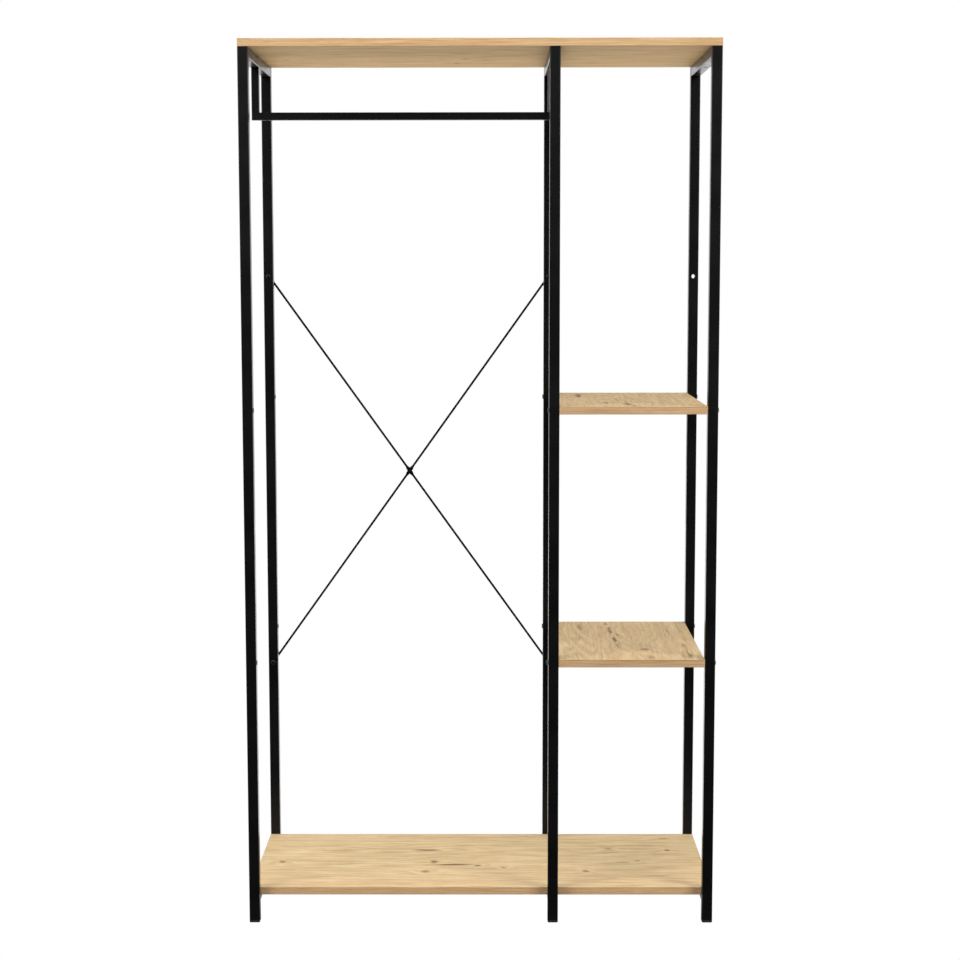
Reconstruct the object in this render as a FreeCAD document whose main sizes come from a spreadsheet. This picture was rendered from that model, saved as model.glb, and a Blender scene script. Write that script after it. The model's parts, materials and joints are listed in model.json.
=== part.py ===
import FreeCAD, Part
import math
import os
import re
import Sketcher

# Free-standing clothes rack: three side frames of square tube carry a top board and a bottom shelf,
# a rail hangs in the wide left bay, two shelves are bolted into the narrow right bay, and two
# crossed rods brace the back of the left bay. The origin is on the floor below the rack's middle,
# +X runs to the shelves, -Y to the front and +Z up.

# Driving sizes in millimetres; a name that ends in share is a share of another size.
SIZES = {
    # Whole rack over its posts and boards
    "overall_width": 900.0,
    "overall_depth": 400.0,
    "overall_height": 1690.0,
    "side_bay_width": 280.0,
    # Heights above the floor
    "upper_shelf_top": 1006.0,
    "lower_shelf_top": 520.0,
    "bottom_shelf_top": 64.0,
    "brace_top": 1248.0,
    "brace_bottom": 436.0,
    # Boards and their edge bands
    "board_thickness": 15.0,
    "band_thickness": 1.0,
    "band_bevel_share": 0.5,
    "bottom_shelf_gap": 2.0,
    # Square tube of the side frames
    "tube_size": 20.0,
    "tube_wall": 1.2,
    "tube_corner": 2.0,
    "lower_tube_height": 10.0,
    # Hanging rail of smaller square tube, and its drop below the top cross tubes
    "rail_size": 15.0,
    "rail_wall": 1.2,
    "rail_corner": 1.5,
    "rail_drop": 101.0,
    "nut_plate_thickness": 6.0,
    # Foot caps in the post ends
    "foot_flange": 5.0,
    "foot_corner": 1.5,
    "foot_bevel_share": 0.8,
    "foot_stem_length": 20.0,
    "foot_stem_wall": 1.6,
    # Brace rods, flattened to half their thickness at the ends and in the middle
    "rod_diameter": 4.5,
    "rod_flat_wall": 1.7,
    "rod_flat_length": 12.0,
    "rod_taper": 6.0,
    "rod_eye_wall": 3.9,
    "rod_neck_length": 9.0,
    # Low hexagon head bolts, their holes and nuts
    "bolt_diameter": 6.0,
    "bolt_hole_clearance": 1.25,
    "bolt_head_bearing": 1.0,
    "bolt_head_height": 2.0,
    "bolt_overhang": 1.0,
    "shelf_bolt_reach": 30.0,
    "nut_wall": 2.0,
    "nut_thickness": 5.0,
    # Small screw and nut at the crossing of the brace
    "centre_screw_diameter": 4.0,
    "centre_head_bearing": 1.4,
    "centre_head_height": 2.6,
    "centre_nut_wall": 1.5,
    "centre_nut_thickness": 3.2,
    # Hexagon head screws from the outer cross tubes into the boards
    "screw_diameter": 5.0,
    "screw_head_bearing": 1.4,
    "screw_head_height": 3.0,
    "screw_cover": 3.0,
    "screw_pitch": 260.0,
    # Plugs in the unused holes of the left frame
    "plug_head_bearing": 0.8,
    "plug_head_height": 1.2,
    "plug_stem_length": 6.0,
    # Clearances, and the overrun of every cut
    "fit_clearance": 0.1,
    "access_clearance": 1.0,
    "cut_overrun": 5.0,
}

# Places and sizes that follow from the driving sizes
DERIVED = {
    "left_x": "(tube_size - overall_width) / 2",
    "right_x": "(overall_width - tube_size) / 2",
    "middle_x": "right_x - tube_size - side_bay_width",
    "front_y": "(tube_size - overall_depth) / 2",
    "rear_y": "(overall_depth - tube_size) / 2",
    "post_top": "overall_height - board_thickness",
    "post_length": "post_top - foot_flange",
    "cross_length": "overall_depth - 2 * tube_size",
    "cross_z": "post_top - tube_size / 2",
    "lower_tube_top": "bottom_shelf_top - board_thickness",
    "lower_cross_z": "lower_tube_top - lower_tube_height / 2",
    "upper_bolt_z": "upper_shelf_top - board_thickness / 2",
    "lower_bolt_z": "lower_shelf_top - board_thickness / 2",
    "side_shelf_x": "right_x - (side_bay_width + tube_size) / 2",
    "bottom_shelf_depth": "cross_length - 2 * bottom_shelf_gap",
    "bolt_hole": "bolt_diameter + 2 * bolt_hole_clearance",
    "bolt_head": "bolt_hole + 2 * bolt_head_bearing",
    "bolt_fit": "bolt_diameter + 2 * fit_clearance",
    "nut_width": "bolt_fit + 2 * nut_wall",
    "shelf_bolt_length": "tube_size + shelf_bolt_reach",
    "brace_bolt_length": "tube_size + rod_half + nut_thickness + bolt_overhang",
    "rail_bolt_length": "tube_wall + nut_plate_thickness + bolt_overhang",
    "rod_half": "rod_diameter / 2",
    "centre_fit": "centre_screw_diameter + 2 * fit_clearance",
    "centre_head": "centre_fit + 2 * centre_head_bearing",
    "centre_nut_width": "centre_fit + 2 * centre_nut_wall",
    "centre_screw_length": "rod_diameter + centre_nut_thickness + bolt_overhang",
    "rod_flat_width": "centre_fit + 2 * rod_flat_wall",
    "rod_eye": "bolt_fit + 2 * rod_eye_wall",
    "brace_span": "middle_x - left_x",
    "brace_rise": "brace_top - brace_bottom",
    "brace_slope": "atan(brace_rise / brace_span)",
    "brace_x": "(left_x + middle_x) / 2",
    "brace_z": "(brace_top + brace_bottom) / 2",
    "rod_reach": "sqrt(brace_span ^ 2 + brace_rise ^ 2) / 2",
    "screw_fit": "screw_diameter + 2 * fit_clearance",
    "screw_head": "screw_fit + 2 * screw_head_bearing",
    "screw_length": "tube_wall + board_thickness - screw_cover",
    "screw_access": "screw_head + 2 * access_clearance",
    "rail_access": "bolt_head + 2 * access_clearance",
    "rail_length": "middle_x - left_x + rail_size",
    "cross_underside": "post_top - tube_size",
    "rail_underside": "cross_underside - rail_drop",
    "plug_head": "bolt_hole + 2 * plug_head_bearing",
    "plug_stem": "bolt_hole - 2 * fit_clearance",
    "foot_stem": "tube_size - 2 * (tube_wall + fit_clearance)",
}

FRAMES = {"left": "left_x", "middle": "middle_x", "right": "right_x"}
OUTER_FRAMES = ("left", "right")
# Places along the outer frames' cross tubes, from their middle, where screws go up into a board
SCREW_PLACES = {"top": ("-screw_pitch / 2", "screw_pitch / 2"), "lower": ("0",)}
X_AXIS = FreeCAD.Vector(1, 0, 0)
Y_AXIS = FreeCAD.Vector(0, 1, 0)
Z_AXIS = FreeCAD.Vector(0, 0, 1)
UPRIGHT = FreeCAD.Rotation()
FACING_BACK = FreeCAD.Rotation(X_AXIS, -90)
FACING_FRONT = FreeCAD.Rotation(X_AXIS, 90)
FACING_RIGHT = FreeCAD.Rotation(Y_AXIS, 90)
FACING_LEFT = FreeCAD.Rotation(Y_AXIS, -90)
FACING_DOWN = FreeCAD.Rotation(X_AXIS, 180)

doc = FreeCAD.newDocument("clothes_rack")
sheet = doc.addObject("Spreadsheet::Sheet", "Sizes")
for row, (alias, size) in enumerate(SIZES.items(), start=1):
    sheet.set(f"A{row}", alias)
    sheet.set(f"B{row}", str(size))
    sheet.setAlias(f"B{row}", alias)
doc.recompute()

nodes = []


# Formulas and sketches

def formula(text):
    """Write a formula out in the sheet's aliases."""
    def swap(match):
        word = match.group()
        if word in DERIVED:
            return f"({formula(DERIVED[word])})"
        return f"Sizes.{word}" if word in SIZES else word
    return re.sub(r"[a-z_]+", swap, text)


def number(text):
    """The present value of a formula."""
    return float(sheet.evalExpression(formula(text)))


def bind(item, **formulas):
    for name, text in formulas.items():
        item.setExpression(name, formula(text))


def place(item, x="0", y="0", z="0", rotation=UPRIGHT):
    item.Placement = FreeCAD.Placement(FreeCAD.Vector(), rotation)
    for axis, text in zip("xyz", (x, y, z)):
        item.setExpression(f"Placement.Base.{axis}", formula(text))
    return item


def new_body(label):
    return doc.addObject("PartDesign::Body", label)


def origin_plane(body, role):
    return next(item for item in body.Origin.OriginFeatures if item.Role == role)


def sketch_on(body, role, offset="0"):
    sketch = body.newObject("Sketcher::SketchObject", "profile")
    sketch.AttachmentSupport = [(origin_plane(body, role), "")]
    sketch.MapMode = "FlatFace"
    sketch.setExpression("AttachmentOffset.Base.z", formula(offset))
    return sketch


def fix_point(sketch, edge, end, x, y):
    """Hold one point of a sketch edge at two formulas."""
    for kind, text in (("DistanceX", x), ("DistanceY", y)):
        index = sketch.addConstraint(Sketcher.Constraint(kind, -1, 1, edge, end, number(text)))
        sketch.setExpression(f"Constraints[{index}]", formula(text))


def arc_centre(start, end, x):
    """Centre of the arc from start to end whose centre has the given x."""
    run = start.x ** 2 + start.y ** 2 - end.x ** 2 - end.y ** 2 - 2 * x * (start.x - end.x)
    return FreeCAD.Vector(x, run / (2 * (start.y - end.y)), 0)


def outline(sketch, points):
    """Closed outline through points of (x, y) formulas.

    The edge that leads to a point is straight, or an arc under a half circle where a third
    formula gives the x of the arc's centre.
    """
    spots = [FreeCAD.Vector(number(point[0]), number(point[1]), 0) for point in points]
    edges = []
    for index, point in enumerate(points):
        start, end = spots[index - 1], spots[index]
        if len(point) == 2:
            edges.append((sketch.addGeometry(Part.LineSegment(start, end)), 1, 2))
            continue
        centre = arc_centre(start, end, number(point[2]))
        from_start, from_end = start - centre, end - centre
        turn = [math.atan2(spoke.y, spoke.x) for spoke in (from_start, from_end)]
        forward = from_start.cross(from_end).z > 0
        first, last = turn if forward else reversed(turn)
        circle_line = Part.Circle(centre, Z_AXIS, from_start.Length)
        edge = sketch.addGeometry(Part.ArcOfCircle(circle_line, first, last))
        edges.append((edge, 1, 2) if forward else (edge, 2, 1))
    for index, point in enumerate(points):
        edge, start, end = edges[index]
        next_edge, next_start, _ = edges[(index + 1) % len(edges)]
        sketch.addConstraint(Sketcher.Constraint("Coincident", edge, end, next_edge, next_start))
        fix_point(sketch, edge, end, point[0], point[1])
        if len(point) == 3:
            side = sketch.addConstraint(
                Sketcher.Constraint("DistanceX", -1, 1, edge, 3, number(point[2])))
            sketch.setExpression(f"Constraints[{side}]", formula(point[2]))


def rectangle(sketch, width, height, x="0", y="0"):
    """Rectangle round a middle point."""
    half_x, half_y = f"({width}) / 2", f"({height}) / 2"
    outline(sketch, [
        (f"{x} - {half_x}", f"{y} - {half_y}"), (f"{x} + {half_x}", f"{y} - {half_y}"),
        (f"{x} + {half_x}", f"{y} + {half_y}"), (f"{x} - {half_x}", f"{y} + {half_y}"),
    ])


def rounded_rectangle(sketch, width, height, radius):
    """Rectangle with round corners, centred on the sketch's origin."""
    out_x, out_y = f"({width}) / 2", f"({height}) / 2"
    in_x, in_y = f"({out_x} - {radius})", f"({out_y} - {radius})"
    outline(sketch, [
        (in_x, f"-{out_y}"), (out_x, f"-{in_y}", in_x),
        (out_x, in_y), (in_x, out_y, in_x),
        (f"-{in_x}", out_y), (f"-{out_x}", in_y, f"-{in_x}"),
        (f"-{out_x}", f"-{in_y}"), (f"-{in_x}", f"-{out_y}", f"-{in_x}"),
    ])


def circle(sketch, x, y, diameter):
    centre = FreeCAD.Vector(number(x), number(y), 0)
    edge = sketch.addGeometry(Part.Circle(centre, Z_AXIS, number(diameter) / 2))
    fix_point(sketch, edge, 3, x, y)
    index = sketch.addConstraint(Sketcher.Constraint("Diameter", edge, number(diameter)))
    sketch.setExpression(f"Constraints[{index}]", formula(diameter))


def octagon(sketch, x, y, width):
    """Eight flats for a round shank or hole that is covered, with the given width across them."""
    half = f"{width} / 2"
    side = f"{half} * (sqrt(2) - 1)"
    outline(sketch, [
        (f"{x} + {half}", f"{y} - {side}"), (f"{x} + {half}", f"{y} + {side}"),
        (f"{x} + {side}", f"{y} + {half}"), (f"{x} - {side}", f"{y} + {half}"),
        (f"{x} - {half}", f"{y} + {side}"), (f"{x} - {half}", f"{y} - {side}"),
        (f"{x} - {side}", f"{y} - {half}"), (f"{x} + {side}", f"{y} - {half}"),
    ])


def hexagon(sketch, width):
    """Hexagon with the given width across its flats, centred on the sketch's origin."""
    corner, half, side = f"{width} / sqrt(3)", f"{width} / 2", f"{width} / sqrt(12)"
    outline(sketch, [
        (corner, "0"), (side, half), (f"-{side}", half),
        (f"-{corner}", "0"), (f"-{side}", f"-{half}"), (side, f"-{half}"),
    ])


# Solid features

def pad(body, sketch, length, both_ways=False, backwards=False):
    feature = body.newObject("PartDesign::Pad", "pad")
    feature.Profile = sketch
    feature.SideType = "Symmetric" if both_ways else "One side"
    feature.Reversed = backwards
    bind(feature, Length=length)
    return feature


def pocket(body, sketch, depth=None, both_ways=False, along_normal=False):
    """Cut to a depth, or right through; along_normal cuts on the side that the sketch faces."""
    feature = body.newObject("PartDesign::Pocket", "pocket")
    feature.Profile = sketch
    feature.SideType = "Symmetric" if both_ways else "One side"
    feature.Reversed = along_normal
    if depth is None:
        feature.Type = "ThroughAll"
    else:
        bind(feature, Length=depth)
    return feature


def loft(body, start, end):
    feature = body.newObject("PartDesign::AdditiveLoft", "taper")
    feature.Profile = start
    feature.Sections = [end]
    feature.Ruled = True
    return feature


def mirror_across(body, role, features):
    mirrored = body.newObject("PartDesign::Mirrored", "mirrored")
    mirrored.Originals = features
    mirrored.MirrorPlane = (origin_plane(body, role), [""])
    body.Tip = mirrored


# Nodes

def node(item):
    nodes.append(item)
    return item


def group(label, items):
    """One node of several separate solids."""
    compound = doc.addObject("Part::Compound", label)
    compound.Links = items
    return node(compound)


def copies(label, master, places):
    """One node of equal pieces, each a link to the master at a place of its own."""
    links = []
    for x, y, z, rotation in places:
        link = doc.addObject("App::Link", f"{label}_copy")
        link.LinkedObject = master
        links.append(place(link, x, y, z, rotation))
    group(label, links)


# Side frames

def tube(label, width, height, length, wall, corner, both_ways=False):
    """Tube of rectangular section along its own Z axis, with round outer edges."""
    body = new_body(label)
    sketch = sketch_on(body, "XY_Plane")
    rounded_rectangle(sketch, width, height, corner)
    rectangle(sketch, f"{width} - 2 * {wall}", f"{height} - 2 * {wall}")
    pad(body, sketch, length, both_ways)
    return node(body)


def frame_tube(label, height, length, both_ways=False):
    return tube(label, "tube_size", height, length, "tube_wall", "tube_corner", both_ways)


def post(side, end):
    """Post with shelf bolt holes across it; on the left frame they pass the inner wall only.

    Rear posts also have the brace's holes, from front to back, which stay open on the right.
    """
    body = frame_tube(f"{side}_{end}_post", "tube_size", "post_length")
    shelf_holes = sketch_on(body, "YZ_Plane")
    for height in ("upper_bolt_z", "lower_bolt_z"):
        octagon(shelf_holes, "0", f"{height} - foot_flange", "bolt_hole")
    pocket(body, shelf_holes, both_ways=side != "left", along_normal=side == "left")
    if end == "rear":
        brace_holes = sketch_on(body, "XZ_Plane")
        section = circle if side == "right" else octagon
        for height in ("brace_top", "brace_bottom"):
            section(brace_holes, "0", f"{height} - foot_flange", "bolt_hole")
        pocket(body, brace_holes, both_ways=True)
    place(body, FRAMES[side], f"{end}_y", "foot_flange")


def wall_holes(body, spots, diameter, upper):
    """Holes at distances from a cross tube's middle, open in its lower wall or covered in its upper."""
    sketch = sketch_on(body, "XZ_Plane")
    section = octagon if upper else circle
    for spot in spots:
        section(sketch, "0", spot, diameter)
    pocket(body, sketch, along_normal=upper)


def cross_tube(label, side, height, z):
    """Tube between a frame's posts.

    On the outer frames, screws enter by wide holes below and pass the upper wall.
    """
    body = frame_tube(f"{side}_{label}_cross_tube", height, "cross_length", both_ways=True)
    if side in OUTER_FRAMES:
        wall_holes(body, SCREW_PLACES[label], "screw_fit", upper=True)
        wall_holes(body, SCREW_PLACES[label], "screw_access", upper=False)
    return place(body, FRAMES[side], "0", z, FACING_BACK)


def side_frame(side):
    """Two posts and two cross tubes; the upper one has a rail bolt's holes, spare on the right."""
    for end in ("front", "rear"):
        post(side, end)
    upper = cross_tube("top", side, "tube_size", "cross_z")
    wall_holes(upper, ["0"], "bolt_hole", upper=False)
    wall_holes(upper, ["0"], "rail_access", upper=True)
    cross_tube("lower", side, "lower_tube_height", "lower_cross_z")


def foot_caps():
    """Plastic caps with a bevelled sole and a hollow stem that fits the post's bore."""
    master = new_body("foot_cap")
    sole = sketch_on(master, "XY_Plane")
    out, cut = "tube_size / 2", "(tube_size / 2 - foot_corner)"
    outline(sole, [
        (cut, f"-{out}"), (out, f"-{cut}"), (out, cut), (cut, out),
        (f"-{cut}", out), (f"-{out}", cut), (f"-{out}", f"-{cut}"), (f"-{cut}", f"-{out}"),
    ])
    flange = pad(master, sole, "foot_flange")
    doc.recompute()
    bevel = master.newObject("PartDesign::Chamfer", "sole_bevel")
    low_edges = [f"Edge{index}" for index, edge in enumerate(flange.Shape.Edges, start=1)
                 if edge.BoundBox.ZMax == edge.BoundBox.ZMin == flange.Shape.BoundBox.ZMin]
    bevel.Base = (flange, low_edges)
    bind(bevel, Size="foot_corner * foot_bevel_share")
    stem = sketch_on(master, "XY_Plane", "foot_flange")
    rectangle(stem, "foot_stem", "foot_stem")
    rectangle(stem, "foot_stem - 2 * foot_stem_wall", "foot_stem - 2 * foot_stem_wall")
    pad(master, stem, "foot_stem_length")
    copies("foot_caps", master, [
        (x, y, "0", UPRIGHT) for x in FRAMES.values() for y in ("front_y", "rear_y")])


# Boards

def board(label, width, depth, x, top, end_bands):
    """Core of a board from its underside up, and the bands on its long edges and perhaps its ends."""
    core = node(new_body(label))
    sketch = sketch_on(core, "XY_Plane")
    half_x = f"({width} / 2 - band_thickness)" if end_bands else f"({width} / 2)"
    half_y = f"({depth} / 2 - band_thickness)"
    rectangle(sketch, f"2 * {half_x}", f"2 * {half_y}")
    pad(core, sketch, "board_thickness")
    low = f"{top} - board_thickness"
    place(core, x, "0", low)
    bands = []
    for heading in (0, 90, 180, 270) if end_bands else (90, 270):
        across = heading % 180 == 0
        strip = edge_band(f"{label}_band", f"2 * {half_y}" if across else width)
        sign = "+" if heading < 180 else "-"
        turn = FreeCAD.Rotation(Z_AXIS, heading).multiply(FACING_FRONT)
        strip_x = f"{x} {sign} {half_x}" if across else x
        bands.append(place(strip, strip_x, "0" if across else f"{sign} {half_y}", low, turn))
    group(f"{label}_edge_bands", bands)
    return core


def edge_band(label, length):
    """Strip that stands on its own Y axis, with its outer edges bevelled, along its own Z axis."""
    body = new_body(label)
    sketch = sketch_on(body, "XY_Plane")
    bevel = "band_thickness * band_bevel_share"
    flat = f"band_thickness - {bevel}"
    outline(sketch, [
        ("0", "0"), (flat, "0"), ("band_thickness", bevel),
        ("band_thickness", f"board_thickness - {bevel}"), (flat, "board_thickness"),
        ("0", "board_thickness"),
    ])
    pad(body, sketch, length, both_ways=True)
    return body


def screwed_board(label, depth, top, level):
    """Board over the whole width, with blind screw holes over the outer cross tubes."""
    core = board(label, "overall_width", depth, "0", top, end_bands=True)
    sketch = sketch_on(core, "XY_Plane")
    for side in OUTER_FRAMES:
        for y in SCREW_PLACES[level]:
            octagon(sketch, FRAMES[side], y, "screw_fit")
    pocket(core, sketch, "screw_length - tube_wall", along_normal=True)


def side_shelf(label, top):
    """Shelf between the middle and right frames, with blind bolt holes in both ends."""
    core = board(label, "side_bay_width", "overall_depth", "side_shelf_x", top, end_bands=False)
    sketch = sketch_on(core, "YZ_Plane", "side_bay_width / 2")
    for y in ("front_y", "rear_y"):
        octagon(sketch, y, "board_thickness / 2", "bolt_fit")
    mirror_across(core, "YZ_Plane", [pocket(core, sketch, "shelf_bolt_reach + bolt_overhang")])


# Hanging rail

def mitre(body, tip):
    """Cut a rail tube's end at 45 degrees from its tip, which stays on the -X face."""
    sketch = sketch_on(body, "XZ_Plane")
    far = "(rail_size / 2 + cut_overrun)"
    outline(sketch, [
        (f"-{far}", f"{tip} - cut_overrun"),
        (far, f"{tip} - cut_overrun"),
        (far, f"{tip} + rail_size + cut_overrun"),
    ])
    return pocket(body, sketch, both_ways=True)


def hanging_rail():
    """Square bar with a mitred drop tube at each end, hung below two top cross tubes."""
    section = ("rail_wall", "rail_corner")
    bar = tube("hanging_rail", "rail_size", "rail_size", "rail_length", *section, both_ways=True)
    mirror_across(bar, "XY_Plane", [mitre(bar, "-rail_length / 2")])
    place(bar, "brace_x", "0", "rail_underside + rail_size / 2", FACING_LEFT)
    for side, turn in (("left", 0), ("right", 180)):
        drop = tube(f"{side}_rail_drop", "rail_size", "rail_size", "rail_drop", *section)
        mitre(drop, "0")
        x = "left_x" if side == "left" else "middle_x"
        place(drop, x, "0", "rail_underside", FreeCAD.Rotation(Z_AXIS, turn))


def rail_fixings():
    """Nut plates welded into the drops' upper ends, and the bolts that pull them up."""
    plate = new_body("nut_plate")
    sketch = sketch_on(plate, "XY_Plane")
    width = "rail_size - 2 * (rail_wall + fit_clearance)"
    rectangle(sketch, width, width)
    octagon(sketch, "0", "0", "bolt_fit")
    pad(plate, sketch, "nut_plate_thickness")
    plate_z = "cross_underside - nut_plate_thickness"
    bolt_z = "cross_underside + tube_wall"
    ends = ("left_x", "middle_x")
    copies("rail_nut_plates", plate, [(x, "0", plate_z, UPRIGHT) for x in ends])
    bolt = frame_bolt("rail_bolt", "rail_bolt_length")
    copies("rail_bolts", bolt, [(x, "0", bolt_z, UPRIGHT) for x in ends])


# Brace

def round_section(body, offset):
    """Round section of a rod that lies against the plane Y = 0, in eight arcs."""
    sketch = sketch_on(body, "YZ_Plane", offset)
    slant = "rod_half / sqrt(2)"
    far, near = f"rod_half + {slant}", f"rod_half - {slant}"
    spots = [
        ("rod_diameter", "0"), (far, slant), ("rod_half", "rod_half"), (near, slant),
        ("0", "0"), (near, f"-{slant}"), ("rod_half", "-rod_half"), (far, f"-{slant}"),
    ]
    outline(sketch, [(y, z, "rod_half") for y, z in spots])
    return sketch


def flat_section(body, offset, low):
    """Flattened section of a rod, half its thickness deep from the given depth."""
    sketch = sketch_on(body, "YZ_Plane", offset)
    middle, high, side = f"{low} + rod_half / 2", f"{low} + rod_half", "rod_flat_width / 2"
    outline(sketch, [
        (high, "0"), (high, side), (middle, side), (low, side),
        (low, "0"), (low, f"-{side}"), (middle, f"-{side}"), (high, f"-{side}"),
    ])
    return sketch


def flat_length(body, start, end, low):
    """Flattened stretch of a rod between two distances from its middle."""
    sketch = sketch_on(body, "XZ_Plane", f"-({low})")
    rectangle(sketch, f"{end} - ({start})", "rod_flat_width", f"({start} + {end}) / 2")
    return pad(body, sketch, "rod_half", backwards=True)


def brace_rod(label, middle_low):
    """Round rod forged flat in the middle and into a bolt eye at each end.

    The eyes lie against the posts; the middle is flattened to the front or to the back, so that
    the two rods cross within one rod's thickness.
    """
    body = node(new_body(label))
    inner, neck = "rod_flat_length / 2", "rod_reach - rod_neck_length"
    bar_start, bar_end = f"{inner} + rod_taper", f"{neck} - rod_taper"
    half = [flat_length(body, "0", inner, middle_low)]
    half.append(loft(body, flat_section(body, inner, middle_low), round_section(body, bar_start)))
    half.append(pad(body, round_section(body, bar_start), f"{bar_end} - ({bar_start})"))
    half.append(loft(body, round_section(body, bar_end), flat_section(body, neck, "0")))
    half.append(flat_length(body, neck, "rod_reach", "0"))
    eye = sketch_on(body, "XZ_Plane")
    circle(eye, "rod_reach", "0", "rod_eye")
    half.append(pad(body, eye, "rod_half", backwards=True))
    eye_hole = sketch_on(body, "XZ_Plane")
    circle(eye_hole, "rod_reach", "0", "bolt_fit")
    half.append(pocket(body, eye_hole, both_ways=True))
    mirror_across(body, "YZ_Plane", half)
    centre_hole = sketch_on(body, "XZ_Plane")
    circle(centre_hole, "0", "0", "centre_fit")
    pocket(body, centre_hole, both_ways=True)
    return body


def brace():
    """Two crossed rods behind the rear posts of the left bay, bolted at the posts and where they meet."""
    for label, middle_low, axis in (
        ("falling_brace_rod", "0", Y_AXIS), ("rising_brace_rod", "rod_half", -Y_AXIS),
    ):
        rod = brace_rod(label, middle_low)
        slope = FreeCAD.Rotation(axis, number("brace_slope"))
        place(rod, "brace_x", "overall_depth / 2", "brace_z", slope)
        bind(rod, **{"Placement.Rotation.Angle": "brace_slope"})
    corners = [(x, z) for x in ("left_x", "middle_x") for z in ("brace_top", "brace_bottom")]
    bolt = frame_bolt("corner_bolt", "brace_bolt_length", circle)
    nut = hex_nut("corner_nut", "nut_width", "nut_thickness", "bolt_fit")
    copies("brace_corner_bolts", bolt, [
        (x, "overall_depth / 2 - tube_size", z, FACING_FRONT) for x, z in corners])
    copies("brace_corner_nuts", nut, [
        (x, "overall_depth / 2 + rod_half", z, FACING_BACK) for x, z in corners])
    screw = hex_bolt("brace_centre_screw", "centre_screw_diameter", "centre_screw_length",
                     "centre_head", "centre_head_height", circle)
    place(node(screw), "brace_x", "overall_depth / 2", "brace_z", FACING_FRONT)
    centre_nut = hex_nut("brace_centre_nut", "centre_nut_width", "centre_nut_thickness", "centre_fit")
    place(node(centre_nut), "brace_x", "overall_depth / 2 + rod_diameter", "brace_z", FACING_BACK)


# Fasteners

def shank(label, diameter, length, section):
    """Plain shank below the origin, with a circle or octagon section; its head is still to come."""
    body = new_body(label)
    sketch = sketch_on(body, "XY_Plane")
    section(sketch, "0", "0", diameter)
    pad(body, sketch, length, backwards=True)
    return body


def hex_bolt(label, diameter, length, head, head_height, section=octagon):
    body = shank(label, diameter, length, section)
    sketch = sketch_on(body, "XY_Plane")
    hexagon(sketch, head)
    pad(body, sketch, head_height)
    return body


def frame_bolt(label, length, section=octagon):
    return hex_bolt(label, "bolt_diameter", length, "bolt_head", "bolt_head_height", section)


def hex_nut(label, width, thickness, bore):
    body = new_body(label)
    sketch = sketch_on(body, "XY_Plane")
    hexagon(sketch, width)
    circle(sketch, "0", "0", bore)
    pad(body, sketch, thickness)
    return body


def shelf_bolts():
    """Bolts through the middle and right posts into the ends of the side shelves."""
    bolt = frame_bolt("shelf_bolt", "shelf_bolt_length")
    sides = (("middle_x - tube_size / 2", FACING_LEFT), ("right_x + tube_size / 2", FACING_RIGHT))
    copies("side_shelf_bolts", bolt, [
        (x, y, z, turn) for x, turn in sides
        for y in ("front_y", "rear_y") for z in ("upper_bolt_z", "lower_bolt_z")])


def board_screws():
    """Screws with their heads inside the outer cross tubes, up into the board above them."""
    screw = hex_bolt("board_screw", "screw_diameter", "screw_length", "screw_head", "screw_head_height")
    for label, level, top in (
        ("top_board_screws", "top", "post_top"), ("bottom_shelf_screws", "lower", "lower_tube_top"),
    ):
        copies(label, screw, [
            (FRAMES[side], y, f"{top} - tube_wall", FACING_DOWN)
            for side in OUTER_FRAMES for y in SCREW_PLACES[level]])


def hole_plugs():
    """Round plugs in the unused holes on the left frame's inner faces."""
    body = shank("hole_plug", "plug_stem", "plug_stem_length", octagon)
    head = sketch_on(body, "XY_Plane")
    circle(head, "0", "0", "plug_head")
    pad(body, head, "plug_head_height")
    copies("hole_plugs", body, [
        ("left_x + tube_size / 2", y, z, FACING_RIGHT)
        for y in ("front_y", "rear_y") for z in ("upper_bolt_z", "lower_bolt_z")])


# Checks and files

def check_features():
    """Stop at a failed feature, a bad shape or a cut that removed nothing."""
    for item in doc.Objects:
        if {"Invalid", "Error"} & set(item.State):
            raise RuntimeError(f"{item.Label} failed: {item.State}")
        if item.isDerivedFrom("PartDesign::Pocket"):
            if item.Shape.Volume >= item.BaseFeature.Shape.Volume:
                raise RuntimeError(f"{item.Label} cuts nothing")
    for item in nodes:
        if item.Shape.isNull() or not item.Shape.isValid():
            raise RuntimeError(f"{item.Label} has no valid shape")


def write_nodes():
    os.makedirs("parts", exist_ok=True)
    for item in nodes:
        item.Shape.exportStep(f"parts/{item.Label}.step")


for frame_side in FRAMES:
    side_frame(frame_side)
foot_caps()
screwed_board("top_board", "overall_depth", "overall_height", "top")
screwed_board("bottom_shelf", "bottom_shelf_depth", "bottom_shelf_top", "lower")
side_shelf("upper_side_shelf", "upper_shelf_top")
side_shelf("lower_side_shelf", "lower_shelf_top")
hanging_rail()
rail_fixings()
brace()
shelf_bolts()
board_screws()
hole_plugs()
doc.recompute()
check_features()
write_nodes()
print(len(nodes), "nodes,", sum(len(item.Shape.Solids) for item in nodes), "solids")
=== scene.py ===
"""Dresses the clothes rack: oak decor, black powder coat, soft studio light and the photo's camera."""
import json
import math
from typing import NamedTuple

import bpy
from mathutils import Matrix, Vector


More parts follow.
